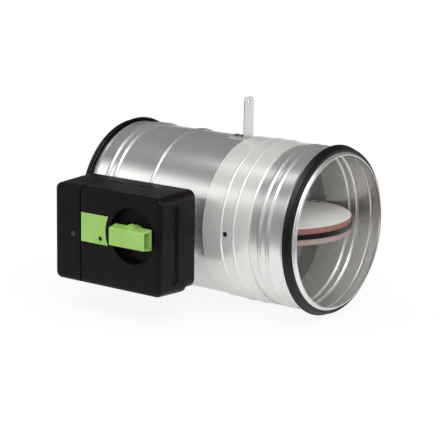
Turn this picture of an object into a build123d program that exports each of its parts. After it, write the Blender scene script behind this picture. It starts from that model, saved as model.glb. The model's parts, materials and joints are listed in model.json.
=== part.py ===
from build123d import *
import math
import os

# Round fire damper. X runs along the duct to the open front, -Y is the mechanism side, Z is up.
# The origin lies on the duct axis at the blade's pivot. Sizes in millimetres.

# Duct
TUBE_R = 99.5                    # outer radius of the plain tube
SHEET = 1.0                      # casing sheet
FRONT_END = 99.0                 # front rim along X
REAR_END = -233.0                # rear rim along X
GAP_HALF = 11.0                  # half of the gap between the two tube ends
FIT = 0.05                       # play between pieces that fit together
CLEAR = 0.3                      # play between pieces that pass each other
RUNNING = 0.05                   # play of a shaft in its hole

# Spigot, stations counted from the rim inwards
NOSE_DROP = 4.8                  # how far the nose turns in at the rim
NOSE_LENGTH = 5.0
SEAT_DROP = 2.0                  # depth of the gasket seat
SEAT_END = 13.2
RIDGE_AT = 17.0
RIDGE_RISE = 0.8
RIDGE_RUN = 3.2
BEAD_STATIONS = (38.3, 49.7)
BEAD_RISE = 2.2
BEAD_RUN = 3.4                   # half width of a bead
STIFFENER_X = -124.0
STIFFENER_RISE = 1.9
STIFFENER_RUN = 3.0

# Gasket, places counted from the rim, heights from the tube's skin
FOOT_START = 4.2
FOOT_END = 12.6
FOOT_RISE = 0.5
ROLL_AT = 6.3                    # middle of the round front lip
ROLL_R = 2.0
ROLL_RISE = 0.9                  # height of its middle
LIP_ROOT = (8.2, 1.0)            # front of the thin rear lip
LIP_TIP = (13.4, 5.6)
LIP_THICK = 1.1

# Wall sleeve and strip
SLEEVE_HALF = 34.0
SLEEVE_WALL = 1.75
SLEEVE_IN_R = TUBE_R + FIT
SLEEVE_OUT_R = SLEEVE_IN_R + SLEEVE_WALL
SLEEVE_RIDGES = (-6.4, 12.0)     # along X
SLEEVE_RIDGE_RISE = 0.9
SLEEVE_RIDGE_RUN = 2.0
STRIP_R = TUBE_R - SHEET         # inner radius of the intumescent strip

# Blade
BLADE_R = STRIP_R - 1.5
BLADE_HALF = 10.0                # half thickness
SEAL_R = STRIP_R - 0.4
SEAL_BAND = 15.0                 # width of the seal held between the boards
SEAL_HALF = 3.1
PIVOT_R = 3.0
PIVOT_PLATE_HALF = 12.0
PIVOT_PLATE_DEPTH = 14.0
PIVOT_SCREW_R = 2.0
PIVOT_SCREW_HEAD = 1.5
PIVOT_SCREW_HEAD_R = 4.0
PIVOT_SUNK = 0.35                # pivot's end below the sleeve's face
BUSH_R = 6.0
BUSH_FACE = BLADE_R + 0.4

# Linkage inside the duct, a parallelogram
SHAFT_X = -79.0
SHAFT_R = 5.0
ARM = 30.0                       # pivot to link pin
PIN_RISE = 11.2                  # link pin above the open blade's face
PIN_Z = BLADE_HALF + PIN_RISE
PIN_X = math.sqrt(ARM ** 2 - PIN_Z ** 2)    # link pin before its pivot, blade open
PIN_R = 4.0
PIN_HEAD_R = 6.0
PIN_HEAD = 1.5
LINK_Y = 13.0 - BLADE_R          # middle of the link's thickness
LINK_THICK = 3.0
LINK_HALF = 5.5
LINK_EYE_R = 8.0
OPEN_PLAY = 0.4                  # play at the blade end of the link, where the loop is opened
SIDE_PLAY = 0.5
CRANK_THICK = 3.0
CRANK_R = 8.0
CRANK_HUB_R = 9.0
CRANK_HUB_END = 5.0 - TUBE_R
BRACKET_THICK = 3.0
BRACKET_HALF = 15.0
BRACKET_FOOT = 22.0
BRACKET_BOLTS = 9.0              # half spacing
BRACKET_BOLTS_IN = 13.64         # from the cheek's face
BOLT_R = 2.5
BOLT_HEAD_R = 4.5
BOLT_HEAD = 2.6

# Blade stops
STOP_CLEAR = 0.5
STOP_LENGTH = 12.0
STOP_WIDTH = 22.0
STOP_DROP = 9.0
STOP_SHEET = 1.5

# Mounting lug
LUG_X = -40.0
LUG_WIDTH = 19.0
LUG_TOP = TUBE_R + 51.5
LUG_SHEET = 1.5
LUG_FOOT = 24.0
LUG_CORNER = 5.0
LUG_HOLE_R = 2.5
LUG_HOLE_DROP = 6.5
LUG_RIVET_SHARES = (0.35, 0.75)   # of the foot's length
RIVET_R = 2.0
RIVET_HEAD_R = 3.6
RIVET_TOP_R = 2.16
RIVET_HEAD = 1.2

# Mechanism box, set out from the drive shaft
BOX_LEFT = SHAFT_X - 124.0       # sides where the covers meet the base
BOX_RIGHT = SHAFT_X + 45.0
BOX_TOP = 52.0
BOX_BOTTOM = -72.0
BOX_BACK = -17.0 - TUBE_R
BOX_FRONT = BOX_BACK - 64.5
WALL = 2.5
DRAFT = 2.5                      # degrees by which the covers narrow to the front
CORNER_R = 10.0                  # seen from the front
EDGE_R = 5.0                     # round the front face
BASE_FRONT = BOX_BACK - 19.0     # where the covers meet the base
BASE_FLANGE = 2.5
BASE_LIFT = 4.0                  # the base is this much shorter at the bottom
FLOOR = BOX_BACK - WALL          # inner face of the base
SPLIT_X = SHAFT_X - 81.0
SPLIT_GAP = 1.2
SPLIT_EDGE = 1.0                 # rounding of the covers along the split
RECESS_R = 34.5
RECESS_FLOOR = BOX_FRONT + 11.0
GROOVE_DEPTH = 2.4
GROOVE_ROUND = 2.16
GROOVE_WIDTH = 10.0
GROOVE_Y = BOX_FRONT + 28.0
GROOVE_TOP = BOX_TOP - 14.0
GROOVE_BOTTOM = BOX_BOTTOM + 15.0
WINDOW_X = (SHAFT_X - 58.0, SHAFT_X - 10.0)
WINDOW_LENGTH = 20.0
WINDOW_WIDTH = 4.5
WINDOW_Y = BASE_FRONT - 3.8
HOOK_THICK = 2.0
HOOK_LENGTH = WINDOW_LENGTH - 2.0
BARB_SUNK = 0.6                  # barb below the cover's face

# Indicator plate
PLATE_LEFT = SPLIT_X + 1.8
PLATE_TOP = 18.5
PLATE_BOTTOM = -17.4
PLATE_ARC_R = 41.0
PLATE_THICK = 1.2
PLATE_PROUD = 0.5

# Handle
HANDLE_LENGTH = 57.0             # at the recess, tapering to the front
HANDLE_HEIGHT = 26.2
HANDLE_DROP = 1.5                # middle of the bar below the shaft
HANDLE_BACK = BOX_FRONT + 2.5
HANDLE_FRONT = BOX_FRONT - 12.0
HANDLE_TAPER = 8.0               # degrees
HANDLE_EDGE = 2.0
HANDLE_HUB_R = 12.5
HANDLE_CLEAR = 0.5               # hub to the recess floor
GRIP_RIM = 2.4                   # rim left round the hollow at each end
GRIP_DEPTH = 10.0
POINTER_HALF = 7.2
POINTER_RISE = 3.8
POINTER_DEPTH = 7.5
POINTER_INSET = 1.0              # from the handle's back
POINTER_EDGE = 1.2
SOCKET_END = BOX_FRONT - 7.0

# Latch and release
DISC_R = 21.0
DISC_FRONT = BOX_FRONT + 21.0
DISC_THICK = 5.0
DISC_HUB_R = 8.0
DISC_HUB_END = BOX_BACK - 22.5
NOTCH_WIDTH = 7.0
NOTCH_DEPTH = 4.0
BUTTON_X = SHAFT_X - 49.0
BUTTON_Z = -10.4
BUTTON_R = 2.6
BUTTON_FRONT = BOX_FRONT + 0.4
BUTTON_COLLAR_R = 5.0
BUTTON_COLLAR = 2.0
LATCH_X = SHAFT_X - 27.0
LATCH_THICK = 3.5
LATCH_WIDTH = 8.0
LATCH_NOSE_X = SHAFT_X - 17.5
LATCH_CLEAR = 0.5
LATCH_PIN_R = 1.75
LATCH_FRONT = DISC_FRONT - LATCH_CLEAR - LATCH_THICK
LATCH_PIN_Y = LATCH_FRONT + LATCH_THICK / 2
POST_WIDTH = 5.6
POST_THICK = 5.0

# Closing spring
SPRING_R = 12.0
SPRING_WIRE = 1.2
SPRING_PITCH = 3.4
SPRING_TURNS = 5

# Thermal fuse
FUSE_X = SHAFT_X - 35.0
FUSE_HOLDER_R = 5.5
FUSE_FLANGE_R = 6.5
FUSE_FLANGE = 2.5
FUSE_TIP = 25.5 - TUBE_R
FUSE_ROD_R = 1.5
FUSE_ROD_PLAY = 1.0              # in the lever, which tilts
FUSE_HEAD_R = 2.8
FUSE_HEAD = 1.2
FUSE_LINK_WIDTH = 7.0
FUSE_LINK_THICK = 1.2
FUSE_LINK_LENGTH = 30.0
FUSE_LAP = 13.5
FUSE_LAP_WIDTH = 5.6
FUSE_SLOT = 10.0

# Switches and terminals
SWITCH_LONG = 20.0
SWITCH_SHORT = 10.0
SWITCH_THICK = 6.4
SWITCH_EDGE = 0.6
SWITCH_POST = 4.0                # half width of the post under a switch
SWITCH_Y = DISC_FRONT + DISC_THICK / 2
PLUNGER_R = 1.3
PLUNGER_LENGTH = 2.5
TERMINAL_X = BOX_LEFT + 15.0
TERMINAL_WIDTH = 17.0
TERMINAL_HEIGHT = 66.0
TERMINAL_DEPTH = 18.0
TERMINAL_BACK = BOX_BACK - 11.5
TERMINALS = 6
TERMINAL_SCREW_R = 2.4
TERMINAL_SCREW_LENGTH = 7.0
TERMINAL_SCREW_SUNK = 2.0
SCREW_SLOT = 0.8
WIRE_R = 2.6
WIRE_RISE = 5.0                  # wire holes above the block's back
CAP_SCREW_X = SHAFT_X - 93.5
CAP_SCREW_Z = -10.9
CAP_SCREW_R = 1.8
CAP_SCREW_HEAD_R = 3.0
CAP_SCREW_HEAD = 2.2
CAP_SCREW_BOSS_R = 4.0
CAP_SCREW_BITE = 8.0
CAP_SCREW_SUNK = 0.4
CROSS_LONG = 3.7
CROSS_WIDE = 0.85
CROSS_DEEP = 1.1
CROSS_TURN = 20.0                # degrees
CAP_BOSS_FRONT = BOX_FRONT + CAP_SCREW_HEAD + WALL + CLEAR

# Saddle bracket
SADDLE_SHEET = 1.5
SADDLE_LEFT = SHAFT_X - 91.0
SADDLE_RIGHT = SHAFT_X + 24.0
SADDLE_TOP = 40.0
SADDLE_BOTTOM = -45.0
SADDLE_FOOT = 12.0
SADDLE_RIVET_IN = 7.0
SADDLE_RIVET_ANGLE = 17.0
BASE_SCREW_R = 2.0
BASE_SCREW_HEAD_R = 4.0
BASE_SCREW_HEAD = 2.4
BASE_SCREW_END = 3.0             # thread past the saddle sheet
BASE_SCREW_X = (SHAFT_X - 71.0, SHAFT_X + 17.0)
BASE_SCREW_Z = (30.0, -35.0)
SHAFT_BUSH_R = 8.0
SHAFT_BUSH_FLANGE_R = 11.0
SHAFT_BUSH_FLANGE = 3.0
SHAFT_BUSH_INNER = 4.3 - TUBE_R

FAR = 3 * TUBE_R                 # longer than any cut needs


def block(x0, x1, y0, y1, z0, z1):
    """Box between two corners."""
    return Pos((x0 + x1) / 2, (y0 + y1) / 2, (z0 + z1) / 2) * Box(x1 - x0, y1 - y0, z1 - z0)


def rod_x(x0, x1, radius, y=0.0, z=0.0):
    """Round bar along X."""
    return Pos((x0 + x1) / 2, y, z) * Rot(0, 90, 0) * Cylinder(radius, x1 - x0)


def rod_y(y0, y1, radius, x=0.0, z=0.0):
    """Round bar along Y."""
    return Pos(x, (y0 + y1) / 2, z) * Rot(90, 0, 0) * Cylinder(radius, y1 - y0)


def rod_z(z0, z1, radius, x=0.0, y=0.0):
    """Round bar along Z."""
    return Pos(x, y, (z0 + z1) / 2) * Cylinder(radius, z1 - z0)


def step_edges(start, end, depth):
    """Two tangent arcs that carry a skin from one radius to another, depth below the outer skin."""
    (x0, r0), (x1, r1) = start, end
    rise = r1 - r0
    turn = 2 * math.atan2(abs(rise), x1 - x0)
    arc = (x1 - x0) / (2 * math.sin(turn))
    up = 1 if rise > 0 else -1
    first = (x0, r0 + up * arc)
    second = (x1, r1 - up * arc)
    first_r = arc + up * depth
    second_r = arc - up * depth

    def on_first(angle):
        return first[0] + first_r * math.sin(angle), first[1] - up * first_r * math.cos(angle)

    def on_second(angle):
        return second[0] - second_r * math.sin(angle), second[1] + up * second_r * math.cos(angle)

    return [
        ThreePointArc(on_first(0), on_first(turn / 2), on_first(turn)),
        ThreePointArc(on_second(turn), on_second(turn / 2), on_second(0)),
    ]


def skin(stations, depth):
    """Edges of a skin through the stations: straight along one radius, two arcs where it changes."""
    edges = []
    for start, end in zip(stations, stations[1:]):
        if start[1] == end[1]:
            edges.append(Line((start[0], start[1] - depth), (end[0], end[1] - depth)))
        else:
            edges += step_edges(start, end, depth)
    return edges


def turned_sheet(stations, sheet):
    """Sheet tube turned about the X axis from its outer skin's stations."""
    (x0, r0), (x1, r1) = stations[0], stations[-1]
    ends = [Line((x0, r0), (x0, r0 - sheet)), Line((x1, r1), (x1, r1 - sheet))]
    face = make_face(skin(stations, 0) + skin(stations, sheet) + ends)
    return revolve(face, Axis.X, 360)


def bead(x, radius, rise, run):
    """Stations of one bead."""
    return [(x - run, radius), (x, radius + rise), (x + run, radius)]


def spigot_stations():
    """Stations of a spigot from the rim inwards, as distance from the rim and radius."""
    stations = [(0.0, TUBE_R - NOSE_DROP), (NOSE_LENGTH, TUBE_R - SEAT_DROP)]
    stations += [(SEAT_END, TUBE_R - SEAT_DROP), (RIDGE_AT, TUBE_R + RIDGE_RISE)]
    stations += [(RIDGE_AT + RIDGE_RUN, TUBE_R)]
    for station in BEAD_STATIONS:
        stations += bead(station, TUBE_R, BEAD_RISE, BEAD_RUN)
    return stations


def front_casing():
    stations = [(FRONT_END - s, r) for s, r in reversed(spigot_stations())]
    return turned_sheet([(GAP_HALF, TUBE_R)] + stations, SHEET)


def rear_casing():
    stations = [(REAR_END + s, r) for s, r in spigot_stations()]
    stations += bead(STIFFENER_X, TUBE_R, STIFFENER_RISE, STIFFENER_RUN) + [(-GAP_HALF, TUBE_R)]
    tube = turned_sheet(stations, SHEET)
    tube -= rod_y(-FAR, 0, SHAFT_BUSH_R + FIT, SHAFT_X)
    tube -= rod_y(-FAR, 0, FUSE_HOLDER_R + CLEAR, FUSE_X, BUTTON_Z)
    for hole in saddle_rivet_places() + lug_rivet_places():
        tube -= hole * Cylinder(RIVET_R + FIT, 3 * BEAD_RISE)
    return tube


def wall_sleeve():
    stations = [(-SLEEVE_HALF, SLEEVE_OUT_R)]
    for x in SLEEVE_RIDGES:
        stations += bead(x, SLEEVE_OUT_R, SLEEVE_RIDGE_RISE, SLEEVE_RIDGE_RUN)
    stations += [(SLEEVE_HALF, SLEEVE_OUT_R)]
    inner = [
        Line((-SLEEVE_HALF, SLEEVE_OUT_R), (-SLEEVE_HALF, SLEEVE_IN_R)),
        Line((-SLEEVE_HALF, SLEEVE_IN_R), (SLEEVE_HALF, SLEEVE_IN_R)),
        Line((SLEEVE_HALF, SLEEVE_IN_R), (SLEEVE_HALF, SLEEVE_OUT_R)),
    ]
    sleeve = revolve(make_face(skin(stations, 0) + inner), Axis.X, 360)
    return sleeve - rod_y(-FAR, FAR, PIVOT_R + CLEAR)


def intumescent_strip():
    half = GAP_HALF - CLEAR
    ring = rod_x(-half, half, SLEEVE_IN_R - FIT) - rod_x(-half, half, STRIP_R)
    return ring - rod_y(-FAR, FAR, BUSH_R + FIT)


def pivot_bushes():
    bush = rod_y(-SLEEVE_IN_R, -BUSH_FACE, BUSH_R) - rod_y(-FAR, 0, PIVOT_R + RUNNING)
    bush &= rod_x(-BUSH_R, BUSH_R, SLEEVE_IN_R - FIT)
    return [bush, mirror(bush, Plane.XZ)]


def gasket(rim, inward):
    """Rubber ring in the seat: a flat foot, a round lip in front and a thin lip that leans to the rear."""
    lean = math.atan2(LIP_TIP[1] - LIP_ROOT[1], LIP_TIP[0] - LIP_ROOT[0])
    back = (LIP_TIP[0] + LIP_THICK * math.sin(lean), LIP_TIP[1] - LIP_THICK * math.cos(lean))
    foot = [(FOOT_START, FIT - SEAT_DROP), (FOOT_START, FOOT_RISE), LIP_ROOT, LIP_TIP, back]
    foot += [(FOOT_END - LIP_THICK, FOOT_RISE), (FOOT_END, FOOT_RISE), (FOOT_END, FIT - SEAT_DROP)]
    outline = make_face(Polyline(*[(s, TUBE_R + rise) for s, rise in foot], close=True))
    outline += Pos(ROLL_AT, TUBE_R + ROLL_RISE) * Circle(ROLL_R)
    ring = revolve(outline, Axis.X, 360)
    return Pos(rim, 0, 0) * (ring if inward > 0 else mirror(ring, Plane.YZ))


def blade_stops():
    inner = TUBE_R - SHEET - FIT
    near_face = BLADE_HALF + STOP_CLEAR
    half = STOP_WIDTH / 2
    stop = block(-near_face - STOP_LENGTH, -near_face, -half, half, inner - STOP_DROP, inner)
    stop &= rod_x(-near_face - STOP_LENGTH, 0, inner)
    stop -= block(-near_face - STOP_LENGTH, -near_face - STOP_SHEET, -half, half, 0, inner - 2 * STOP_SHEET)
    return [stop, Rot(0, 180, 0) * stop]


def saddle_rivet_places():
    """Places and outward directions of the saddle's rivets on the tube."""
    places = []
    for x in (SADDLE_LEFT + SADDLE_RIVET_IN, SADDLE_RIGHT - SADDLE_RIVET_IN):
        for angle in (SADDLE_RIVET_ANGLE, -SADDLE_RIVET_ANGLE):
            places.append(Rot(-angle, 0, 0) * Pos(x, -TUBE_R, 0) * Rot(90, 0, 0))
    return places


def lug_rivet_places():
    """Places and outward directions of the lug's rivets on the crown."""
    return [Pos(LUG_X - LUG_FOOT * share, 0, TUBE_R) for share in LUG_RIVET_SHARES]


def rivet(grip):
    """Blind rivet along Z, its outer head seated grip above the tube's skin."""
    shank = rod_z(-SHEET - RIVET_HEAD, grip + FIT, RIVET_R)
    head = Cone(RIVET_HEAD_R, RIVET_TOP_R, RIVET_HEAD, align=(Align.CENTER, Align.CENTER, Align.MIN))
    return shank + Pos(0, 0, grip + FIT) * head


def lug_rivets():
    return [place * rivet(LUG_SHEET + FIT) for place in lug_rivet_places()]


def saddle_rivets():
    return [place * rivet(SADDLE_SHEET + FIT) for place in saddle_rivet_places()]


def tube_shell(x0, x1, sheet):
    """Sheet that lies on the tube."""
    inner = TUBE_R + FIT
    return rod_x(x0, x1, inner + sheet) - rod_x(x0, x1, inner)


def mounting_lug():
    half = LUG_WIDTH / 2
    foot = tube_shell(LUG_X - LUG_FOOT, LUG_X, LUG_SHEET)
    foot &= block(LUG_X - LUG_FOOT, LUG_X, -half, half, 0, LUG_TOP)
    upright = block(LUG_X - LUG_SHEET, LUG_X, -half, half, 0, LUG_TOP)
    upright -= rod_x(LUG_X - FAR, LUG_X + FAR, TUBE_R + FIT)
    top = upright.edges().filter_by(Axis.X).group_by(Axis.Z)[-1]
    upright = fillet(top, LUG_CORNER)
    lug = foot + upright
    lug -= rod_x(LUG_X - FAR, LUG_X + FAR, LUG_HOLE_R, 0, LUG_TOP - LUG_HOLE_DROP)
    for place in lug_rivet_places():
        lug -= place * Cylinder(RIVET_R + FIT, 6 * LUG_SHEET)
    return lug


def saddle_bracket():
    inner = BOX_BACK + SADDLE_SHEET
    saddle = block(SADDLE_LEFT, SADDLE_RIGHT, BOX_BACK, inner, SADDLE_BOTTOM, SADDLE_TOP)
    tube = rod_x(SADDLE_LEFT, SADDLE_RIGHT, TUBE_R + FIT)
    for outer, way in ((SADDLE_LEFT, 1), (SADDLE_RIGHT, -1)):
        x0, x1 = sorted((outer, outer + way * SADDLE_SHEET))
        saddle += block(x0, x1, inner, -TUBE_R / 2, SADDLE_BOTTOM, SADDLE_TOP) - tube
        x0, x1 = sorted((outer, outer + way * SADDLE_FOOT))
        reach = block(x0, x1, BOX_BACK, 0, SADDLE_BOTTOM, SADDLE_TOP)
        saddle += tube_shell(x0, x1, SADDLE_SHEET) & reach
    saddle -= rod_x(SADDLE_LEFT, SADDLE_RIGHT, TUBE_R + FIT)
    saddle -= rod_y(BOX_BACK, inner, SHAFT_BUSH_R, SHAFT_X)
    saddle -= rod_y(BOX_BACK, inner, FUSE_HOLDER_R + CLEAR, FUSE_X, BUTTON_Z)
    for x, z in base_screw_places():
        saddle -= rod_y(BOX_BACK, inner, BASE_SCREW_R + FIT, x, z)
    for place in saddle_rivet_places():
        saddle -= place * Cylinder(RIVET_R + FIT, 6 * SADDLE_SHEET)
    return saddle


def shaft_bush():
    seat = -TUBE_R - FIT
    bush = rod_y(seat, SHAFT_BUSH_INNER, SHAFT_BUSH_R)
    bush += rod_y(seat - SHAFT_BUSH_FLANGE, seat, SHAFT_BUSH_FLANGE_R)
    return bush - rod_y(seat - SHAFT_BUSH_FLANGE, SHAFT_BUSH_INNER, SHAFT_R + RUNNING)


def rounded_shell(inset):
    """Rounded box of the covers, drawn in by the inset, narrowing from the base to the front."""
    width = BOX_RIGHT - BOX_LEFT - 2 * inset
    height = BOX_TOP - BOX_BOTTOM - 2 * inset
    outline = RectangleRounded(width, height, CORNER_R - inset)
    solid = extrude(outline, BASE_FRONT - BOX_FRONT - inset, taper=DRAFT)
    middle = Pos((BOX_LEFT + BOX_RIGHT) / 2, BASE_FRONT, (BOX_BOTTOM + BOX_TOP) / 2)
    solid = middle * Rot(90, 0, 0) * solid
    return fillet(solid.edges().group_by(Axis.Y)[0], EDGE_R - inset)


def drawn_in(y):
    """How far the covers' sides have come in at a place in front of the base."""
    return (BASE_FRONT - y) * math.tan(math.radians(DRAFT))


def span_block(x0, x1):
    """Box as high and deep as the covers, between two places along X."""
    return block(min(x0, x1), max(x0, x1), BOX_FRONT, BASE_FRONT, BOX_BOTTOM, BOX_TOP)


def cover_halves():
    """The covers as one shell, cut at the split, each half closed by its own wall."""
    filled = rounded_shell(0)
    shell = filled - rounded_shell(WALL)
    halves = []
    for end, way in ((BOX_RIGHT, 1), (BOX_LEFT, -1)):
        cut = SPLIT_X + way * SPLIT_GAP / 2
        side = span_block(cut, end)
        closing = span_block(cut, cut + way * WALL)
        half = (shell & side) + (filled & closing)
        end_face = half.faces().filter_by(Axis.X).sort_by(lambda face: abs(face.center().X - cut))[0]
        lip = [edge for edge in end_face.outer_wire().edges() if edge.center().Y < BASE_FRONT - FIT]
        halves.append(fillet(lip, SPLIT_EDGE))
    return halves


def plate_blank(grow):
    """The indicator plate's blank, grown all round by the play of its pocket."""
    front = BOX_FRONT - PLATE_PROUD
    bottom, top = PLATE_BOTTOM - grow, PLATE_TOP + grow
    bar = block(PLATE_LEFT - grow, SHAFT_X, front, front + PLATE_THICK, bottom, top)
    return bar - rod_y(-FAR, 0, PLATE_ARC_R - grow, SHAFT_X)


def mechanism_cover(shell):
    cup = rod_y(BOX_FRONT + WALL / 2, RECESS_FLOOR + WALL, RECESS_R + WALL, SHAFT_X)
    cover = shell + cup
    cover -= rod_y(-FAR, RECESS_FLOOR, RECESS_R, SHAFT_X)
    cover -= rod_y(-FAR, 0, SHAFT_R + CLEAR, SHAFT_X)
    cover -= plate_blank(FIT)
    cover -= rod_y(-FAR, 0, BUTTON_R + CLEAR, BUTTON_X, BUTTON_Z)
    half = GROOVE_WIDTH / 2
    right = BOX_RIGHT - drawn_in(GROOVE_Y)
    inner = right - GROOVE_DEPTH
    cover += block(inner - WALL, right - WALL / 2, GROOVE_Y - half - WALL, GROOVE_Y + half + WALL,
                   GROOVE_BOTTOM - WALL, GROOVE_TOP + WALL)
    groove = block(inner, BOX_RIGHT + WALL, GROOVE_Y - half, GROOVE_Y + half, GROOVE_BOTTOM, GROOVE_TOP)
    cover -= fillet(groove.edges().filter_by(Axis.Z).group_by(Axis.X)[0], GROOVE_ROUND)
    length, width = WINDOW_LENGTH / 2, WINDOW_WIDTH / 2
    deep = WALL + CLEAR + drawn_in(WINDOW_Y - width)
    for x in WINDOW_X:
        for z in (BOX_TOP, BOX_BOTTOM):
            cover -= block(x - length, x + length, WINDOW_Y - width, WINDOW_Y + width, z - deep, z + deep)
    return cover


def terminal_cover(shell):
    at = (CAP_SCREW_X, CAP_SCREW_Z)
    seat = BOX_FRONT + CAP_SCREW_HEAD
    cover = shell + rod_y(BOX_FRONT + WALL / 2, seat + WALL, CAP_SCREW_HEAD_R + WALL, *at)
    cover -= rod_y(-FAR, 0, CAP_SCREW_R + CLEAR, *at)
    return cover - rod_y(-FAR, seat, CAP_SCREW_HEAD_R + CLEAR, *at)


def cap_screw():
    """Cross-slot screw of the terminal cover, sunk in its seat."""
    at = (CAP_SCREW_X, CAP_SCREW_Z)
    seat = BOX_FRONT + CAP_SCREW_HEAD - FIT
    head = rod_y(BOX_FRONT + CAP_SCREW_SUNK, seat, CAP_SCREW_HEAD_R, *at)
    long, wide = CROSS_LONG / 2, CROSS_WIDE / 2
    for angle in (CROSS_TURN, CROSS_TURN + 90):
        bar = block(-long, long, BOX_FRONT, BOX_FRONT + CAP_SCREW_SUNK + CROSS_DEEP, -wide, wide)
        head -= Pos(CAP_SCREW_X, 0, CAP_SCREW_Z) * Rot(0, angle, 0) * bar
    return head + rod_y(seat, CAP_BOSS_FRONT + CAP_SCREW_BITE, CAP_SCREW_R, *at)


def mechanism_base():
    bottom = BOX_BOTTOM + BASE_LIFT
    tray = block(BOX_LEFT, BOX_RIGHT, BASE_FRONT, BOX_BACK, bottom, BOX_TOP)
    tray = fillet(tray.edges().filter_by(Axis.Y), CORNER_R)
    flange = block(BOX_LEFT, BOX_RIGHT, BASE_FRONT, BASE_FRONT + BASE_FLANGE, BOX_BOTTOM, BOX_TOP)
    base = tray + fillet(flange.edges().filter_by(Axis.Y), CORNER_R)
    room = block(BOX_LEFT + WALL, BOX_RIGHT - WALL, BASE_FRONT, FLOOR, bottom + WALL, BOX_TOP - WALL)
    base -= fillet(room.edges().filter_by(Axis.Y), CORNER_R - WALL)
    for x in WINDOW_X:
        for z, way in ((BOX_TOP, 1), (BOX_BOTTOM, -1)):
            base += snap_hook(x, z, way)
    half = POST_WIDTH / 2
    for inner, outer in latch_post_spans():
        base += block(LATCH_X - half, LATCH_X + half, LATCH_PIN_Y - half, FLOOR, inner, outer)
    base -= rod_z(BOX_BOTTOM, BOX_TOP, LATCH_PIN_R + FIT, LATCH_X, LATCH_PIN_Y)
    base += rod_y(CAP_BOSS_FRONT, FLOOR, CAP_SCREW_BOSS_R, CAP_SCREW_X, CAP_SCREW_Z)
    base -= rod_y(CAP_BOSS_FRONT, FLOOR, CAP_SCREW_R + FIT, CAP_SCREW_X, CAP_SCREW_Z)
    post_front = SWITCH_Y + SWITCH_THICK / 2 + FIT
    for x, z in switch_places():
        base += block(x - SWITCH_POST, x + SWITCH_POST, post_front, FLOOR, z - SWITCH_POST, z + SWITCH_POST)
    half, rise = TERMINAL_WIDTH / 2, TERMINAL_HEIGHT / 3
    base += block(TERMINAL_X - half, TERMINAL_X + half, TERMINAL_BACK + FIT, FLOOR, -rise, rise)
    base -= rod_y(FLOOR, BOX_BACK, SHAFT_R + CLEAR, SHAFT_X)
    base -= rod_y(FLOOR, BOX_BACK, FUSE_HOLDER_R + FIT, FUSE_X, BUTTON_Z)
    for x, z in base_screw_places():
        base -= rod_y(FLOOR, BOX_BACK, BASE_SCREW_R + FIT, x, z)
    return base


def latch_post_spans():
    """Heights between which the two posts at the latch pin stand."""
    near = LATCH_WIDTH / 2 + CLEAR
    far = near + POST_THICK
    return [(BUTTON_Z + near, BUTTON_Z + far), (BUTTON_Z - far, BUTTON_Z - near)]


def snap_hook(x, z, way):
    """Springy tongue on the base whose barb stands in a window of the cover."""
    tip = WINDOW_Y - WINDOW_WIDTH / 2
    inside = z - way * (WALL + CLEAR + drawn_in(tip))
    x0, x1 = x - HOOK_LENGTH / 2, x + HOOK_LENGTH / 2
    root = BASE_FRONT + BASE_FLANGE
    reach = WINDOW_WIDTH / 2 - CLEAR
    hook = block(x0, x1, tip, root, *sorted((inside, inside - way * HOOK_THICK)))
    hook += block(x0, x1, BASE_FRONT, root, *sorted((inside, z - way * WALL / 2)))
    return hook + block(x0, x1, WINDOW_Y - reach, WINDOW_Y + reach, *sorted((inside, z - way * BARB_SUNK)))


def base_screw_places():
    """Places of the screws that hold the base to the saddle, as X and Z."""
    return [(x, z) for z in BASE_SCREW_Z for x in BASE_SCREW_X]


def base_screws():
    screws = []
    seat = FLOOR - FIT
    for x, z in base_screw_places():
        shank = rod_y(seat, BOX_BACK + SADDLE_SHEET + BASE_SCREW_END, BASE_SCREW_R, x, z)
        screws.append(shank + rod_y(seat - BASE_SCREW_HEAD, seat, BASE_SCREW_HEAD_R, x, z))
    return screws


def indicator_plate():
    return plate_blank(0) - rod_y(-FAR, 0, BUTTON_R + CLEAR, BUTTON_X, BUTTON_Z)


def switch_places():
    """Middles of the two switches, right of the latch disc and above it."""
    away = DISC_R + CLEAR + PLUNGER_LENGTH + SWITCH_SHORT / 2
    return [(SHAFT_X + away, 0.0), (SHAFT_X, away)]


def switch_at(index):
    """Small switch whose plunger points at the latch disc. Index 0 lies right of the disc, 1 above it."""
    body = Box(SWITCH_SHORT, SWITCH_THICK, SWITCH_LONG)
    body = chamfer(body.edges().group_by(Axis.Y)[0], SWITCH_EDGE)
    body += rod_x(-SWITCH_SHORT / 2 - PLUNGER_LENGTH, -SWITCH_SHORT / 2, PLUNGER_R)
    x, z = switch_places()[index]
    return Pos(x, SWITCH_Y, z) * Rot(0, -90 * index, 0) * body


def terminal_heights():
    """Heights of the terminals in their row."""
    pitch = TERMINAL_HEIGHT / TERMINALS
    return [(i - (TERMINALS - 1) / 2) * pitch for i in range(TERMINALS)]


def terminal_block():
    half = TERMINAL_WIDTH / 2
    front = TERMINAL_BACK - TERMINAL_DEPTH
    rise = TERMINAL_HEIGHT / 2
    body = block(TERMINAL_X - half, TERMINAL_X + half, front, TERMINAL_BACK, -rise, rise)
    well = front + TERMINAL_SCREW_SUNK + TERMINAL_SCREW_LENGTH
    for z in terminal_heights():
        body -= rod_y(front, well, TERMINAL_SCREW_R + CLEAR, TERMINAL_X, z)
        body -= rod_x(TERMINAL_X - half, TERMINAL_X + half, WIRE_R, TERMINAL_BACK - WIRE_RISE, z)
    return body


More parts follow.
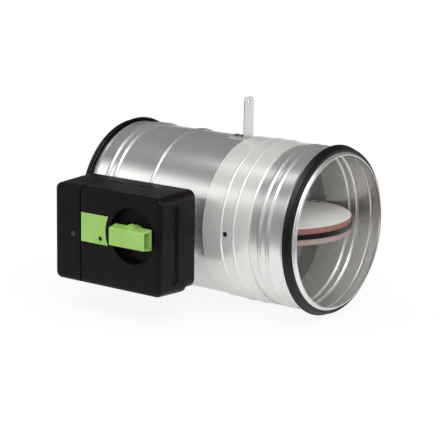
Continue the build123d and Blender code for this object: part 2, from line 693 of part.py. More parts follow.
def terminal_screws():
    """Slotted clamp screws, one in each terminal."""
    front = TERMINAL_BACK - TERMINAL_DEPTH + TERMINAL_SCREW_SUNK
    x0, x1 = TERMINAL_X - TERMINAL_SCREW_R, TERMINAL_X + TERMINAL_SCREW_R
    half = SCREW_SLOT / 2
    screws = []
    for z in terminal_heights():
        screw = rod_y(front, front + TERMINAL_SCREW_LENGTH - FIT, TERMINAL_SCREW_R, TERMINAL_X, z)
        screws.append(screw - block(x0, x1, front, front + SCREW_SLOT, z - half, z + half))
    return screws


def fuse_holder():
    """Hollow post from the base into the duct, slotted at the tip for the fuse link."""
    at = (FUSE_X, BUTTON_Z)
    seat = FLOOR - FIT
    holder = rod_y(seat, FUSE_TIP, FUSE_HOLDER_R, *at) + rod_y(seat - FUSE_FLANGE, seat, FUSE_FLANGE_R, *at)
    holder -= rod_y(-FAR, 0, FUSE_ROD_R + CLEAR, *at)
    half = FUSE_LINK_THICK / 2 + FIT
    z0, z1 = BUTTON_Z - FUSE_HOLDER_R, BUTTON_Z + FUSE_HOLDER_R
    return holder - block(FUSE_X - half, FUSE_X + half, FUSE_TIP - FUSE_SLOT, FUSE_TIP, z0, z1)


def fuse_link():
    """Two thin strips soldered over each other."""
    start = FUSE_TIP - FUSE_SLOT + FIT
    end = start + FUSE_LINK_LENGTH
    half, thick = FUSE_LINK_WIDTH / 2, FUSE_LINK_THICK / 2
    strip = block(FUSE_X - thick, FUSE_X + thick, start, end, BUTTON_Z - half, BUTTON_Z + half)
    half = FUSE_LAP_WIDTH / 2
    return strip + block(FUSE_X - 2 * thick, FUSE_X, end - FUSE_LAP, end, BUTTON_Z - half, BUTTON_Z + half)


def fuse_rod():
    """Rod from the latch lever down to the fuse link, its head in front of the lever."""
    rod = rod_y(LATCH_FRONT - CLEAR, FUSE_TIP - FUSE_SLOT, FUSE_ROD_R, FUSE_X, BUTTON_Z)
    head = rod_y(LATCH_FRONT - CLEAR - FUSE_HEAD, LATCH_FRONT - CLEAR, FUSE_HEAD_R, FUSE_X, BUTTON_Z)
    return rod + head


def closing_spring():
    """Torsion spring wound round the drive shaft."""
    start = FLOOR - SPRING_WIRE - FIT
    path = Helix(SPRING_PITCH, SPRING_PITCH * SPRING_TURNS, SPRING_R)
    wire = sweep(Plane(origin=path @ 0, z_dir=path % 0) * Circle(SPRING_WIRE), path)
    return Pos(SHAFT_X, start, 0) * Rot(90, 0, 0) * wire


def board(way):
    """One half of the blade, rebated at the rim for the seal, way +1 for the upper half."""
    z0, z1 = sorted((0.0, way * BLADE_HALF))
    disc = rod_z(z0, z1, BLADE_R)
    rebate0, rebate1 = sorted((0.0, way * SEAL_HALF))
    disc -= rod_z(rebate0, rebate1, BLADE_R) - rod_z(rebate0, rebate1, BLADE_R - SEAL_BAND - FIT)
    for x, y in pivot_screw_places():
        disc -= rod_z(z0, z1, PIVOT_SCREW_R + FIT, x, y)
        if way > 0:
            disc -= rod_z(BLADE_HALF - PIVOT_SCREW_HEAD, BLADE_HALF, PIVOT_SCREW_HEAD_R + FIT, x, y)
    for x in bracket_bolt_places():
        disc -= rod_z(z0, z1, BOLT_R + FIT, x, bracket_bolt_y())
    return disc


def blade_seal():
    """Flat rubber ring in two halves, one for each side of the pivots."""
    half = SEAL_HALF - FIT
    ring = rod_z(-half, half, SEAL_R) - rod_z(-half, half, BLADE_R - SEAL_BAND)
    gap = PIVOT_PLATE_HALF + CLEAR
    ring -= block(-gap, gap, -SEAL_R, SEAL_R, -SEAL_HALF, SEAL_HALF)
    return ring.solids()


def blade_pivots():
    half = SEAL_HALF - FIT
    wide = PIVOT_PLATE_HALF
    plate = block(-wide, wide, -BLADE_R, PIVOT_PLATE_DEPTH - BLADE_R, -half, half)
    plate += rod_y(PIVOT_SUNK - SLEEVE_OUT_R, -BLADE_R, PIVOT_R)
    for x, y in pivot_screw_places():
        if y < 0:
            plate -= rod_z(-half, half, PIVOT_SCREW_R + FIT, x, y)
    return [plate, mirror(plate, Plane.XZ)]


def pivot_screw_places():
    """Places of the screws through the blade at the two pivot plates."""
    middle = BLADE_R - PIVOT_PLATE_DEPTH / 2
    half = PIVOT_PLATE_HALF / 2
    return [(x, y) for y in (-middle, middle) for x in (-half, half)]


def pivot_screws():
    screws = []
    for x, y in pivot_screw_places():
        shank = rod_z(-BLADE_HALF, BLADE_HALF, PIVOT_SCREW_R, x, y)
        seat = BLADE_HALF - PIVOT_SCREW_HEAD + FIT
        screws.append(shank + rod_z(seat, BLADE_HALF, PIVOT_SCREW_HEAD_R, x, y))
    return screws


def bracket_face():
    """The bracket's outer face along Y, beside the link."""
    return LINK_Y + LINK_THICK / 2 + SIDE_PLAY


def bracket_bolt_y():
    return bracket_face() + BRACKET_BOLTS_IN


def bracket_bolt_places():
    return [PIN_X - BRACKET_BOLTS, PIN_X + BRACKET_BOLTS]


def drive_bracket():
    """Angle on the blade: a foot and an upright cheek that carries the link pin."""
    face = bracket_face()
    foot_z = BLADE_HALF + FIT
    x0, x1 = PIN_X - BRACKET_HALF, PIN_X + BRACKET_HALF
    bracket = block(x0, x1, face, face + BRACKET_FOOT, foot_z, foot_z + BRACKET_THICK)
    root = Pos(PIN_X, foot_z + BRACKET_THICK / 2) * Rectangle(2 * BRACKET_HALF, BRACKET_THICK)
    bracket += flat_plate(hull_of([root, Pos(PIN_X, PIN_Z) * Circle(CRANK_R)]), face, BRACKET_THICK)
    bracket -= rod_y(face, face + BRACKET_THICK, PIN_R + FIT, PIN_X, PIN_Z)
    for x in bracket_bolt_places():
        bracket -= rod_z(foot_z, foot_z + BRACKET_THICK, BOLT_R + FIT, x, bracket_bolt_y())
    return bracket


def hull_of(outlines):
    """Flat shape that a string drawn tight round the outlines would give."""
    return make_hull([edge for outline in outlines for edge in outline.edges()])


def flat_plate(sketch, y0, thick):
    """Plate across Y from a sketch whose axes are X and Z."""
    return Pos(0, y0 + thick, 0) * Rot(90, 0, 0) * extrude(sketch, thick)


def bracket_bolts():
    bolts = []
    top = BLADE_HALF + BRACKET_THICK + 2 * FIT
    for x in bracket_bolt_places():
        bolt = rod_z(-BLADE_HALF, top, BOLT_R, x, bracket_bolt_y())
        head = Pos(x, bracket_bolt_y(), top) * extrude(RegularPolygon(BOLT_HEAD_R, 6), BOLT_HEAD)
        bolts.append(bolt + head)
    return bolts


def bracket_pin():
    outer = LINK_Y - LINK_THICK / 2 - CLEAR
    pin = rod_y(outer, bracket_face() + BRACKET_THICK, PIN_R, PIN_X, PIN_Z)
    return pin + rod_y(outer - PIN_HEAD, outer, PIN_HEAD_R, PIN_X, PIN_Z)


def crank_pin():
    inner = LINK_Y + LINK_THICK / 2 + CLEAR
    x = SHAFT_X + PIN_X
    pin = rod_y(crank_back() - CRANK_THICK, inner, PIN_R, x, PIN_Z)
    return pin + rod_y(inner, inner + PIN_HEAD, PIN_HEAD_R, x, PIN_Z)


def crank_back():
    """The crank's face beside the link, along Y."""
    return LINK_Y - LINK_THICK / 2 - SIDE_PLAY


def crank():
    eye = Pos(SHAFT_X + PIN_X, PIN_Z) * Circle(CRANK_R)
    arm = hull_of([Pos(SHAFT_X, 0) * Circle(CRANK_HUB_R), eye])
    solid = flat_plate(arm, crank_back() - CRANK_THICK, CRANK_THICK)
    solid += rod_y(CRANK_HUB_END, crank_back(), CRANK_HUB_R, SHAFT_X)
    solid -= rod_y(CRANK_HUB_END, crank_back(), SHAFT_R + FIT, SHAFT_X)
    return solid - rod_y(CRANK_HUB_END, crank_back(), PIN_R + FIT, SHAFT_X + PIN_X, PIN_Z)


def link():
    left, right = SHAFT_X + PIN_X, PIN_X
    y0 = LINK_Y - LINK_THICK / 2
    y1 = LINK_Y + LINK_THICK / 2
    bar = block(left, right, y0, y1, PIN_Z - LINK_HALF, PIN_Z + LINK_HALF)
    for x in (left, right):
        bar += rod_y(y0, y1, LINK_EYE_R, x, PIN_Z)
    bar -= rod_y(y0, y1, PIN_R + RUNNING, left, PIN_Z)
    return bar - rod_y(y0, y1, PIN_R + OPEN_PLAY, right, PIN_Z)


def drive_shaft():
    return rod_y(SOCKET_END + FIT, crank_back(), SHAFT_R, SHAFT_X)


def handle():
    """Turning bar with a hollow in each end, a pointer ridge on its upper side and a hub behind."""
    depth = HANDLE_BACK - HANDLE_FRONT
    bar = extrude(Rectangle(HANDLE_LENGTH, HANDLE_HEIGHT), depth, taper=HANDLE_TAPER)
    knob = Pos(SHAFT_X, HANDLE_BACK, -HANDLE_DROP) * Rot(90, 0, 0) * bar
    knob = fillet(knob.edges() - knob.edges().group_by(Axis.Y)[-1], HANDLE_EDGE)
    reach = HANDLE_LENGTH / 2 - GRIP_DEPTH
    ends = block(SHAFT_X - FAR, SHAFT_X + FAR, -FAR, 0, -FAR, FAR)
    ends -= block(SHAFT_X - reach, SHAFT_X + reach, -FAR, 0, -FAR, FAR)
    half = HANDLE_HEIGHT / 2 - depth / 2 * math.tan(math.radians(HANDLE_TAPER)) - GRIP_RIM
    core = block(SHAFT_X - FAR, SHAFT_X + FAR, HANDLE_FRONT + GRIP_RIM, HANDLE_BACK - GRIP_RIM,
                 -half - HANDLE_DROP, half - HANDLE_DROP)
    knob -= core & ends
    top = HANDLE_HEIGHT / 2 - HANDLE_DROP
    ridge = Polyline((-POINTER_HALF, 0), (-POINTER_HALF, top), (0, top + POINTER_RISE),
                     (POINTER_HALF, top), (POINTER_HALF, 0), close=True)
    pointer_front = HANDLE_BACK - POINTER_INSET - POINTER_DEPTH
    pointer = Pos(SHAFT_X, 0, 0) * flat_plate(make_face(ridge), pointer_front, POINTER_DEPTH)
    knob += fillet(pointer.edges().filter_by(Axis.Y).sort_by(Axis.Z)[-1], POINTER_EDGE)
    hub_back = RECESS_FLOOR - HANDLE_CLEAR
    knob += rod_y(HANDLE_BACK - GRIP_RIM, hub_back, HANDLE_HUB_R, SHAFT_X)
    return knob - rod_y(SOCKET_END, hub_back, SHAFT_R + FIT, SHAFT_X)


def latch_disc():
    disc = rod_y(DISC_FRONT, DISC_FRONT + DISC_THICK, DISC_R, SHAFT_X)
    disc += rod_y(DISC_FRONT + DISC_THICK, DISC_HUB_END, DISC_HUB_R, SHAFT_X)
    rim_x = SHAFT_X - math.sqrt(DISC_R ** 2 - BUTTON_Z ** 2)
    half = NOTCH_WIDTH / 2
    disc -= block(rim_x - DISC_R, rim_x + NOTCH_DEPTH, DISC_FRONT, DISC_FRONT + DISC_THICK,
                  BUTTON_Z - half, BUTTON_Z + half)
    return disc - rod_y(DISC_FRONT, DISC_HUB_END, SHAFT_R + FIT, SHAFT_X)


def release_button():
    stem = rod_y(BUTTON_FRONT, LATCH_FRONT - CLEAR, BUTTON_R, BUTTON_X, BUTTON_Z)
    collar = BOX_FRONT + WALL + CLEAR
    return stem + rod_y(collar, collar + BUTTON_COLLAR, BUTTON_COLLAR_R, BUTTON_X, BUTTON_Z)


def latch_lever():
    y1 = LATCH_FRONT + LATCH_THICK
    half = LATCH_WIDTH / 2
    z0, z1 = BUTTON_Z - half, BUTTON_Z + half
    lever = block(BUTTON_X - half, LATCH_NOSE_X, LATCH_FRONT, y1, z0, z1)
    lever += rod_z(z0, z1, LATCH_THICK, LATCH_X, LATCH_PIN_Y)
    lever -= rod_z(z0, z1, LATCH_PIN_R + RUNNING, LATCH_X, LATCH_PIN_Y)
    return lever - rod_y(LATCH_FRONT, y1, FUSE_ROD_R + FUSE_ROD_PLAY, FUSE_X, BUTTON_Z)


def latch_pin():
    reach = LATCH_WIDTH / 2 + CLEAR + POST_THICK
    return rod_z(BUTTON_Z - reach, BUTTON_Z + reach, LATCH_PIN_R, LATCH_X, LATCH_PIN_Y)


def write(name, solids):
    """One file for a node, of one solid or a group of separate ones."""
    group = solids if isinstance(solids, (list, ShapeList)) else [solids]
    pieces = [piece for shape in group for piece in shape.solids()]
    export_step(Compound(children=pieces), f"parts/{name}.step")


os.makedirs("parts", exist_ok=True)
big_shell, small_shell = cover_halves()
nodes = {
    "front_casing": front_casing(),
    "rear_casing": rear_casing(),
    "wall_sleeve": wall_sleeve(),
    "intumescent_strip": intumescent_strip(),
    "pivot_bushes": pivot_bushes(),
    "front_gasket": gasket(FRONT_END, -1),
    "rear_gasket": gasket(REAR_END, 1),
    "blade_stops": blade_stops(),
    "mounting_lug": mounting_lug(),
    "lug_rivets": lug_rivets(),
    "saddle_bracket": saddle_bracket(),
    "saddle_rivets": saddle_rivets(),
    "shaft_bush": Pos(SHAFT_X, 0, 0) * shaft_bush(),
    "mechanism_base": mechanism_base(),
    "mechanism_cover": mechanism_cover(big_shell),
    "terminal_cover": terminal_cover(small_shell),
    "terminal_cover_screw": cap_screw(),
    "base_screws": base_screws(),
    "indicator_plate": indicator_plate(),
    "terminal_block": terminal_block(),
    "terminal_screws": terminal_screws(),
    "open_switch": switch_at(0),
    "closed_switch": switch_at(1),
    "fuse_holder": fuse_holder(),
    "fuse_link": fuse_link(),
    "fuse_rod": fuse_rod(),
    "latch_pin": latch_pin(),
    "closing_spring": closing_spring(),
    "upper_blade_board": board(1),
    "lower_blade_board": board(-1),
    "blade_seal": blade_seal(),
    "blade_pivots": blade_pivots(),
    "pivot_screws": pivot_screws(),
    "drive_bracket": drive_bracket(),
    "bracket_bolts": bracket_bolts(),
    "bracket_pin": bracket_pin(),
    "drive_shaft": drive_shaft(),
    "handle": handle(),
    "latch_disc": latch_disc(),
    "crank": crank(),
    "crank_pin": crank_pin(),
    "link": link(),
    "release_button": release_button(),
    "latch_lever": latch_lever(),
}
for name, solids in nodes.items():
    write(name, solids)
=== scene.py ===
import json
import math

import bpy
import numpy as np
from mathutils import Matrix, Vector


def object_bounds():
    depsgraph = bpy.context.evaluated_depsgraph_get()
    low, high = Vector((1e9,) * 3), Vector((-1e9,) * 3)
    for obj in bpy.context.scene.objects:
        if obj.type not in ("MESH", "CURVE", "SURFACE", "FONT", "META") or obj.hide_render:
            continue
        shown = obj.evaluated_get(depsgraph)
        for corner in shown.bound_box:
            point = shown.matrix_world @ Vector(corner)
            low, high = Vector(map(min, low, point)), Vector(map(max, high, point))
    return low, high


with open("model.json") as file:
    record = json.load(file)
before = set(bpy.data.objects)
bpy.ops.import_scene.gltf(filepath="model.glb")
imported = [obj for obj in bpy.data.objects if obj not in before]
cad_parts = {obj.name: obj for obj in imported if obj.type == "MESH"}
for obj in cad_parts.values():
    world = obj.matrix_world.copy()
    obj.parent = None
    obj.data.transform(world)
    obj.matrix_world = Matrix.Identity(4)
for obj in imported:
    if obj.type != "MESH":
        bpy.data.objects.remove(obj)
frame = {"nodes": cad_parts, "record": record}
cad_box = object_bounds()
MM = 0.001

# Camera of the photograph in the part's frame, in millimetres and degrees, its lens and frame in pixels
LENS_PX = 1800.0
FRAME_PX = 440.0
SENSOR = 36.0
AZIMUTH, ELEVATION, ROLL = 36.52, 12.72, 0.86
TARGET = (-82.63, 0.0, -11.76)
DISTANCE = 2291.7
NEAREST, FARTHEST = 50.0, 50000.0    # distances between which things are drawn

# Soft lamps: place, width and height in metres, power in watts
SOFTBOXES = {
    "left_softbox": ((-1.15, -0.82, 0.80), 0.8, 0.45, 1.65),
    "top_softbox": ((-0.55, -0.24, 1.12), 0.36, 0.3, 0.42),
    "front_softbox": ((0.7, -2.1, 0.9), 1.8, 1.8, 7.0),
    "right_softbox": ((1.2, -0.7, 1.5), 1.2, 1.0, 14.0),
}
LAMP_TARGET = (-0.07, 0.0, 0.0)

# Room: its even light, its walls, and the other sides that the metal mirrors. A side has a direction, the
# nearness to that direction over which it comes in, and a colour. A later side covers an earlier one.
EVEN_LIGHT = (0.90, 0.90, 0.90, 1)
WALL_WHITE = (1, 1, 1, 1)
ROOM_SIDES = (
    ((0.0, 0.0, 1.0), (-0.06, 0.18), (0.12, 0.12, 0.118, 1)),      # grey ceiling
    ((0.0, -0.99, 0.15), (0.45, 0.85), (0.15, 0.15, 0.147, 1)),    # dark behind the camera
    ((0.9, 0.0, -0.25), (0.48, 0.85), (0.22, 0.22, 0.215, 1)),     # grey low before the open end
    ((0.6, -0.3, 0.74), (0.72, 0.95), (0.80, 0.80, 0.79, 1)),      # pale high before the open end
)

# Floor, in metres unless named otherwise
FLOOR_MIDDLE = -0.07
FLOOR_RADII = (0.02, 0.7)
FLOOR_RINGS, FLOOR_SPOKES = 24, 64
FLOOR_FADE = (250.0, 420.0)          # millimetres from its middle
FLOOR_GLOW = 0.88                    # share of plain white in what the camera sees of it
FLOOR_MIRRORED = 0.45                # the same share in what the metal mirrors of it
FLOOR_ROUGHNESS = 0.9

# Surface patterns, in millimetres
SHEET_BAND = (25, 300, 300)          # along the tube and across it
SHEET_CLOUD = 60
COAT_PEEL = 2.5
COAT_CLOUD = 45
PLASTIC_CLOUD = 30
PLASTIC_DEPTH = 0.2                  # height that the grain's bump stands for
RUBBER_BLOOM = 14
BOARD_FLECK = 1.6
BOARD_RIM = (96.2, 96.8)             # radius over which a board's face turns into its cut rim
METAL_MARK = 1.2
BUMP_DEPTH = 0.3                     # height that every other bump stands for

# How far the roughness strays to either side of a finish's own value
PLASTIC_STRAY = (-0.05, 0.05)
METAL_STRAY = (-0.06, 0.08)


def linear(code):
    """sRGB hex code to linear colour with alpha 1."""
    channels = np.array([int(code[i:i + 2], 16) for i in (1, 3, 5)]) / 255.0
    low = channels / 12.92
    high = ((channels + 0.055) / 1.055) ** 2.4
    return (*np.where(channels <= 0.04045, low, high).tolist(), 1.0)


def add(tree, kind, links=None, stops=(), **settings):
    """Adds one node. A setting is a property of the node or the value of an input, which is given by its
    name, or by the letter i and its number. A link joins another node's output to an input. Stops are a
    ramp's places and hex codes. A colour mix has its colours at inputs 6 and 7 and its result at output 2.
    A map range goes from the span of inputs 1 and 2 to that of inputs 3 and 4."""
    made = tree.nodes.new(kind)
    for key, value in settings.items():
        if hasattr(made, key):
            setattr(made, key, value)
        else:
            made.inputs[int(key[1:]) if key[1:].isdigit() else key].default_value = value
    for key, output in (links or {}).items():
        tree.links.new(output, made.inputs[key])
    for i, (place, code) in enumerate(stops):
        made.color_ramp.elements[i].position = place
        made.color_ramp.elements[i].color = linear(code)
    return made


def new_material(name):
    """Empty node material with its tree, its shader and its Object coordinates in millimetres."""
    made = bpy.data.materials.new(name)
    made.use_nodes = True
    tree = made.node_tree
    shader = tree.nodes["Principled BSDF"]
    place = add(tree, "ShaderNodeTexCoord").outputs["Object"]
    scaled = add(tree, "ShaderNodeVectorMath", {0: place}, operation="SCALE", Scale=1 / MM)
    return made, tree, shader, scaled.outputs[0]


def wire(tree, shader, colour, pattern, rough, span=(0.0, 1.0)):
    """Joins a colour to the shader, and a roughness that goes from the first rough value to the second over
    the pattern's span."""
    sheen = add(tree, "ShaderNodeMapRange", {0: pattern}, i1=span[0], i2=span[1], i3=rough[0], i4=rough[1])
    tree.links.new(colour, shader.inputs["Base Color"])
    tree.links.new(sheen.outputs[0], shader.inputs["Roughness"])


def emboss(tree, shader, height, strength, depth=BUMP_DEPTH):
    """Joins a height pattern, depth millimetres deep, to the shader as its bump."""
    bump = add(tree, "ShaderNodeBump", {"Height": height}, Strength=strength, Distance=depth * MM)
    tree.links.new(bump.outputs[0], shader.inputs["Normal"])


def galvanised_sheet():
    """Hot-dip galvanised steel sheet, rolled smooth: no zinc crystals show, only faint bands of the rolling
    round the tube, drawn wide so that they stay soft, and broad clouds, which give the eye a soft uneven
    mirror."""
    made, tree, shader, at = new_material("galvanised_sheet")
    shrink = tuple(1 / size for size in SHEET_BAND)
    along = add(tree, "ShaderNodeMapping", {"Vector": at}, Scale=shrink).outputs[0]
    bands = add(tree, "ShaderNodeTexNoise", {"Vector": along}, Scale=1.0, Detail=0.0).outputs[0]
    cloud = add(tree, "ShaderNodeTexNoise", {"Vector": at}, Scale=1 / SHEET_CLOUD, Detail=2.0).outputs[0]
    mixed = add(tree, "ShaderNodeMath", {0: bands, 1: cloud}, operation="ADD").outputs[0]
    colour = add(tree, "ShaderNodeValToRGB", {0: mixed}, [(0.5, "#E5E4E2"), (1.0, "#EDECEA")]).outputs[0]
    wire(tree, shader, colour, mixed, rough=(0.26, 0.29), span=(0.6, 1.4))
    shader.inputs["Metallic"].default_value = 0.85
    return made


def coated_sleeve():
    """Pale satin coat on the wall sleeve's sheet: sprayed, with a fine peel and broad clouds of gloss."""
    made, tree, shader, at = new_material("sleeve_coat")
    peel = add(tree, "ShaderNodeTexNoise", {"Vector": at}, Scale=1 / COAT_PEEL, Detail=2.0).outputs[0]
    cloud = add(tree, "ShaderNodeTexNoise", {"Vector": at}, Scale=1 / COAT_CLOUD, Detail=1.0).outputs[0]
    colour = add(tree, "ShaderNodeValToRGB", {0: cloud}, [(0.2, "#EAEAE7"), (0.8, "#F0F0ED")]).outputs[0]
    wire(tree, shader, colour, cloud, rough=(0.26, 0.30))
    emboss(tree, shader, peel, strength=0.02)
    shader.inputs["Metallic"].default_value = 0.5
    return made


def moulded_plastic(name, pale, dark, rough, gloss, grain, strength):
    """Injection-moulded plastic: a fine spark-eroded grain, drawn coarse enough to show, over a soft uneven
    gloss. The grain is in millimetres."""
    made, tree, shader, at = new_material(name)
    pits = add(tree, "ShaderNodeTexNoise", {"Vector": at}, Scale=1 / grain, Detail=2.0).outputs[0]
    cloud = add(tree, "ShaderNodeTexNoise", {"Vector": at}, Scale=1 / PLASTIC_CLOUD, Detail=2.0).outputs[0]
    colour = add(tree, "ShaderNodeValToRGB", {0: cloud}, [(0.3, dark), (0.7, pale)]).outputs[0]
    wire(tree, shader, colour, cloud, rough=[rough + stray for stray in PLASTIC_STRAY])
    emboss(tree, shader, pits, strength, depth=PLASTIC_DEPTH)
    shader.inputs["Specular IOR Level"].default_value = gloss
    return made


def sealing_rubber():
    """Extruded EPDM rubber: black and satin, with a faint grey bloom in patches."""
    made, tree, shader, at = new_material("epdm_rubber")
    bloom = add(tree, "ShaderNodeTexNoise", {"Vector": at}, Scale=1 / RUBBER_BLOOM, Detail=4.0).outputs[0]
    colour = add(tree, "ShaderNodeValToRGB", {0: bloom}, [(0.35, "#080807"), (0.75, "#111110")]).outputs[0]
    wire(tree, shader, colour, bloom, rough=(0.32, 0.44))
    emboss(tree, shader, bloom, strength=0.04)
    shader.inputs["Specular IOR Level"].default_value = 0.34
    return made


def fibre_board():
    """Pressed calcium silicate board: white faces, and a cut rim stained rose on the upper board and pale on
    the lower one, all with fine fibre flecks."""
    made, tree, shader, at = new_material("fire_board")
    flat = add(tree, "ShaderNodeVectorMath", {0: at}, operation="MULTIPLY", i1=(1, 1, 0)).outputs[0]
    radius = add(tree, "ShaderNodeVectorMath", {0: flat}, operation="LENGTH").outputs["Value"]
    start, end = BOARD_RIM
    rim = add(tree, "ShaderNodeMapRange", {0: radius}, interpolation_type="SMOOTHSTEP", i1=start, i2=end)
    flecks = add(tree, "ShaderNodeTexNoise", {"Vector": at}, Scale=1 / BOARD_FLECK, Detail=4.0).outputs[0]
    face = add(tree, "ShaderNodeValToRGB", {0: flecks}, [(0.3, "#DCDAD6"), (0.7, "#EFEDEA")]).outputs[0]
    upper = add(tree, "ShaderNodeValToRGB", {0: flecks}, [(0.3, "#7F544E"), (0.7, "#946760")]).outputs[0]
    lower = add(tree, "ShaderNodeValToRGB", {0: flecks}, [(0.3, "#93807A"), (0.7, "#A69590")]).outputs[0]
    height = add(tree, "ShaderNodeSeparateXYZ", {0: at}).outputs[2]
    top = add(tree, "ShaderNodeMath", {0: height}, operation="GREATER_THAN", i1=0.0).outputs[0]
    edge = add(tree, "ShaderNodeMix", {0: top, 6: lower, 7: upper}, data_type="RGBA").outputs[2]
    colour = add(tree, "ShaderNodeMix", {0: rim.outputs[0], 6: face, 7: edge}, data_type="RGBA").outputs[2]
    wire(tree, shader, colour, flecks, rough=(0.75, 0.9))
    emboss(tree, shader, flecks, strength=0.15)
    return made


def turned_metal(name, pale, dark, rough):
    """Plated, rolled or turned metal: a fine uneven sheen left by the bath or the tool."""
    made, tree, shader, at = new_material(name)
    marks = add(tree, "ShaderNodeTexNoise", {"Vector": at}, Scale=1 / METAL_MARK, Detail=3.0).outputs[0]
    colour = add(tree, "ShaderNodeValToRGB", {0: marks}, [(0.3, dark), (0.7, pale)]).outputs[0]
    wire(tree, shader, colour, marks, rough=[rough + stray for stray in METAL_STRAY])
    shader.inputs["Metallic"].default_value = 1.0
    return made


def dress_cad_nodes():
    """Gives every CAD node the finish of its material slot."""
    finishes = {
        "galvanised_steel": galvanised_sheet(),
        "pale_sleeve": coated_sleeve(),
        "black_plastic": moulded_plastic("black_abs", "#130C11", "#0E090C",
                                         rough=0.36, gloss=0.16, grain=0.7, strength=0.04),
        "green_plastic": moulded_plastic("green_abs", "#97BF63", "#8FB85B",
                                         rough=0.38, gloss=0.4, grain=0.9, strength=0.06),
        "grey_plastic": moulded_plastic("grey_polyamide", "#8A8D90", "#7B7E81",
                                        rough=0.45, gloss=0.4, grain=0.7, strength=0.12),
        "black_rubber": sealing_rubber(),
        "fire_board": fibre_board(),
        "foil_faced_strip": turned_metal("foil_facing", "#C8C9C9", "#B4B5B5", rough=0.42),
        "zinc_plated_steel": turned_metal("zinc_plated_steel", "#7E8084", "#585A5E", rough=0.30),
        "dark_steel": turned_metal("oiled_dark_steel", "#55565A", "#2E2F32", rough=0.38),
        "bush_brass": turned_metal("turned_brass", "#D9B566", "#B08A3E", rough=0.28),
        "fuse_copper": turned_metal("soldered_copper", "#D08A5E", "#A8643C", rough=0.32),
    }
    for part in frame["record"]["subparts"]:
        piece = frame["nodes"][part["node"]]
        piece.data.materials.clear()
        piece.data.materials.append(finishes[part["material_slot"]])


def pale_room():
    """World that lights evenly and is white to the camera, while the metal mirrors white walls and the room's
    other sides."""
    world = bpy.data.worlds.new("pale_room")
    bpy.context.scene.world = world
    world.use_nodes = True
    tree = world.node_tree
    tree.nodes.clear()
    towards = add(tree, "ShaderNodeTexCoord").outputs["Generated"]
    walls = add(tree, "ShaderNodeRGB")
    walls.outputs[0].default_value = WALL_WHITE
    room = walls.outputs[0]
    for side, (start, end), colour in ROOM_SIDES:
        near = add(tree, "ShaderNodeVectorMath", {0: towards}, operation="DOT_PRODUCT",
                   i1=Vector(side).normalized())
        share = add(tree, "ShaderNodeMapRange", {0: near.outputs["Value"]}, interpolation_type="SMOOTHSTEP",
                    i1=start, i2=end)
        mixed = add(tree, "ShaderNodeMix", {0: share.outputs[0], 6: room}, data_type="RGBA", i7=colour)
        room = mixed.outputs[2]
    rays = add(tree, "ShaderNodeLightPath").outputs
    straight = add(tree, "ShaderNodeMath", {0: rays["Is Camera Ray"], 1: rays["Is Transmission Ray"]},
                   operation="MAXIMUM")
    lit = add(tree, "ShaderNodeMix", {0: rays["Is Glossy Ray"], 7: room}, data_type="RGBA", i6=EVEN_LIGHT)
    shown = add(tree, "ShaderNodeMix", {0: straight.outputs[0], 6: lit.outputs[2]}, data_type="RGBA",
                i7=WALL_WHITE)
    glow = add(tree, "ShaderNodeBackground", {"Color": shown.outputs[2]})
    add(tree, "ShaderNodeOutputWorld", {0: glow.outputs[0]})


def softbox(name, place, width, height, power):
    """Soft studio lamp turned to the part."""
    lamp = bpy.data.lights.new(name, "AREA")
    lamp.shape = "RECTANGLE"
    lamp.size, lamp.size_y = width, height
    lamp.energy = power
    holder = bpy.data.objects.new(name, lamp)
    bpy.context.scene.collection.objects.link(holder)
    holder.location = place
    holder.rotation_mode = "QUATERNION"
    holder.rotation_quaternion = (Vector(LAMP_TARGET) - Vector(place)).to_track_quat("-Z", "Y")


def pale_floor(height):
    """Round floor: radius from near nought to its rim and turn from 0 to 360 degrees on a polar grid, all at
    one height, its middle closed by one face. It keeps the part's shadow and fades out into the white
    room."""
    radii = np.linspace(*FLOOR_RADII, FLOOR_RINGS)
    turns = np.linspace(0, 2 * np.pi, FLOOR_SPOKES, endpoint=False)
    radius, turn = np.meshgrid(radii, turns, indexing="ij")
    x, y = radius * np.cos(turn) + FLOOR_MIDDLE, radius * np.sin(turn)
    points = np.stack([x, y, np.full_like(radius, height)], -1)
    ring = np.arange(FLOOR_RINGS - 1)[:, None] * FLOOR_SPOKES
    spokes = np.arange(FLOOR_SPOKES)
    first = (ring + spokes).ravel()
    after = (ring + (spokes + 1) % FLOOR_SPOKES).ravel()
    faces = np.stack([first, first + FLOOR_SPOKES, after + FLOOR_SPOKES, after], -1)
    mesh = bpy.data.meshes.new("floor")
    mesh.from_pydata(points.reshape(-1, 3), [], [*faces.tolist(), spokes.tolist()])
    floor = bpy.data.objects.new("floor", mesh)
    bpy.context.scene.collection.objects.link(floor)
    mesh.materials.append(floor_paint())


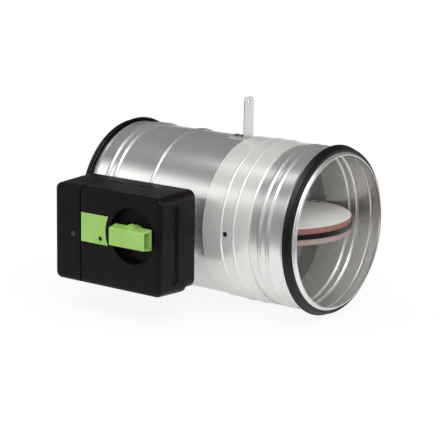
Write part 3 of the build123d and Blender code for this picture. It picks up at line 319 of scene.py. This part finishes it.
def floor_paint():
    """White matt paint that is mostly plain white to the camera, and clear towards the floor's rim and from
    below."""
    made, tree, shader, at = new_material("pale_floor")
    shader.inputs["Base Color"].default_value = linear("#F4F4F4")
    shader.inputs["Roughness"].default_value = FLOOR_ROUGHNESS
    centred = add(tree, "ShaderNodeMapping", {"Vector": at}, Location=(-FLOOR_MIDDLE / MM, 0, 0)).outputs[0]
    flat = add(tree, "ShaderNodeVectorMath", {0: centred}, operation="MULTIPLY", i1=(1, 1, 0)).outputs[0]
    reach = add(tree, "ShaderNodeVectorMath", {0: flat}, operation="LENGTH").outputs["Value"]
    start, end = FLOOR_FADE
    fade = add(tree, "ShaderNodeMapRange", {0: reach}, interpolation_type="SMOOTHSTEP", i1=start, i2=end)
    under = add(tree, "ShaderNodeNewGeometry").outputs["Backfacing"]
    gone = add(tree, "ShaderNodeMath", {0: fade.outputs[0], 1: under}, operation="MAXIMUM")
    rays = add(tree, "ShaderNodeLightPath").outputs
    mirrored = add(tree, "ShaderNodeMath", {0: rays["Is Glossy Ray"]}, operation="MULTIPLY",
                   i1=FLOOR_MIRRORED)
    share = add(tree, "ShaderNodeMath", {0: rays["Is Camera Ray"], 2: mirrored.outputs[0]},
                operation="MULTIPLY_ADD", i1=FLOOR_GLOW)
    white = add(tree, "ShaderNodeEmission")
    lit = add(tree, "ShaderNodeMixShader", {0: share.outputs[0], 1: shader.outputs[0], 2: white.outputs[0]})
    clear = add(tree, "ShaderNodeBsdfTransparent")
    edge = add(tree, "ShaderNodeMixShader", {0: gone.outputs[0], 1: lit.outputs[0], 2: clear.outputs[0]})
    tree.links.new(edge.outputs[0], tree.nodes["Material Output"].inputs[0])
    return made


def place_camera():
    """Camera at the photograph's angle: square frame, long lens, a slight roll."""
    turn, rise, roll = (math.radians(angle) for angle in (AZIMUTH, ELEVATION, ROLL))
    back = Vector((math.sin(turn) * math.cos(rise), -math.cos(turn) * math.cos(rise), math.sin(rise)))
    level = Vector((math.cos(turn), math.sin(turn), 0.0))
    upright = back.cross(level)
    right = math.cos(roll) * level + math.sin(roll) * upright
    up = math.cos(roll) * upright - math.sin(roll) * level
    lens = bpy.data.cameras.new("camera")
    lens.sensor_width = SENSOR
    lens.lens = LENS_PX / FRAME_PX * SENSOR
    lens.clip_start, lens.clip_end = NEAREST * MM, FARTHEST * MM
    camera = bpy.data.objects.new("camera", lens)
    bpy.context.scene.collection.objects.link(camera)
    place = (Vector(TARGET) + back * DISTANCE) * MM
    camera.matrix_world = Matrix.Translation(place) @ Matrix((right, up, back)).transposed().to_4x4()
    bpy.context.scene.camera = camera


bpy.context.scene.view_settings.view_transform = "Standard"
dress_cad_nodes()
pale_room()
for name, (place, width, height, power) in SOFTBOXES.items():
    softbox(name, place, width, height, power)
pale_floor(cad_box[0].z)
place_camera()
